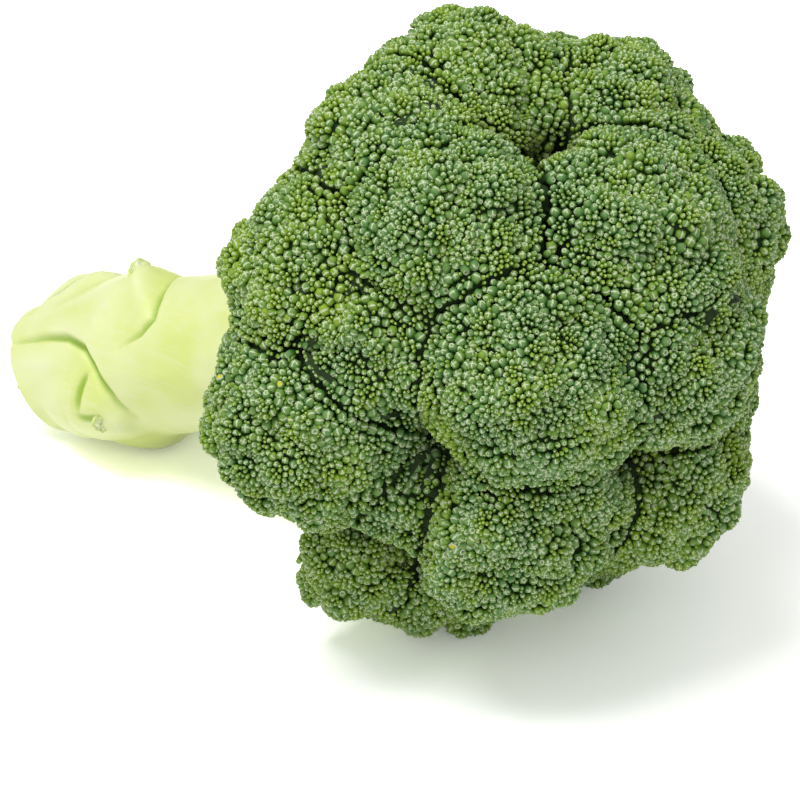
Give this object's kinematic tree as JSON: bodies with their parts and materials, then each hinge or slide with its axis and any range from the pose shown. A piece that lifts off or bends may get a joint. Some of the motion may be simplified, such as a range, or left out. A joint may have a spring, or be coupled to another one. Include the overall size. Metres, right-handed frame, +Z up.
{
  "type": "broccoli head",
  "caption": "Whole broccoli head lying on its side: thick trimmed stalk with cut leaf bases, forking branches and a crown of tightly packed green florets.",
  "frame": {"origin": "on the surface the head lies on, under the middle of its bounding box", "axes": "+Z up; +Y along the floor from the crown towards the cut end of the stalk; +X to the right when looking from the crown's face towards the stalk"},
  "size_m": [0.1398, 0.2126, 0.1415],
  "materials": {
    "stalk_skin": "pale yellow-green waxy plant skin",
    "branch_skin": "pale green waxy plant skin",
    "flower_buds": "matte blue-green bloomy flower buds"
  },
  "bodies": {
    "root": {"branch_foot_front": "branch_skin", "branch_foot_left": "branch_skin", "branch_foot_right": "branch_skin", "branch_front_low": "branch_skin", "branch_left_high": "branch_skin", "branch_left_low": "branch_skin", "branch_right": "branch_skin", "branch_right_high": "branch_skin", "branch_right_under": "branch_skin", "branch_rim_right": "branch_skin", "branch_rim_right_low": "branch_skin", "branch_rim_top": "branch_skin", "branch_rim_under": "branch_skin", "branch_tip_back": "branch_skin", "branch_tip_front": "branch_skin", "branch_tip_low": "branch_skin", "branch_tip_right": "branch_skin", "branch_tip_side": "branch_skin", "branch_top": "branch_skin", "branch_top_left": "branch_skin", "branch_under_right": "branch_skin", "branch_upper_left": "branch_skin", "branch_upper_right": "branch_skin", "branch_valley_left": "branch_skin", "branch_valley_low": "branch_skin", "floret_foot_front": "flower_buds", "floret_foot_left": "flower_buds", "floret_foot_right": "flower_buds", "floret_front_low": "flower_buds", "floret_left_high": "flower_buds", "floret_left_low": "flower_buds", "floret_right": "flower_buds", "floret_right_high": "flower_buds", "floret_right_under": "flower_buds", "floret_rim_right": "flower_buds", "floret_rim_right_low": "flower_buds", "floret_rim_top": "flower_buds", "floret_rim_under": "flower_buds", "floret_tip_back": "flower_buds", "floret_tip_front": "flower_buds", "floret_tip_low": "flower_buds", "floret_tip_right": "flower_buds", "floret_tip_side": "flower_buds", "floret_top": "flower_buds", "floret_top_left": "flower_buds", "floret_under_right": "flower_buds", "floret_upper_left": "flower_buds", "floret_upper_right": "flower_buds", "floret_valley_left": "flower_buds", "floret_valley_low": "flower_buds", "leaf_stub_end": "stalk_skin", "leaf_stub_front": "stalk_skin", "leaf_stub_right": "stalk_skin", "leaf_stub_top": "stalk_skin", "leaf_stub_under": "stalk_skin", "stalk": "stalk_skin"}
  },
  "joints": []
}
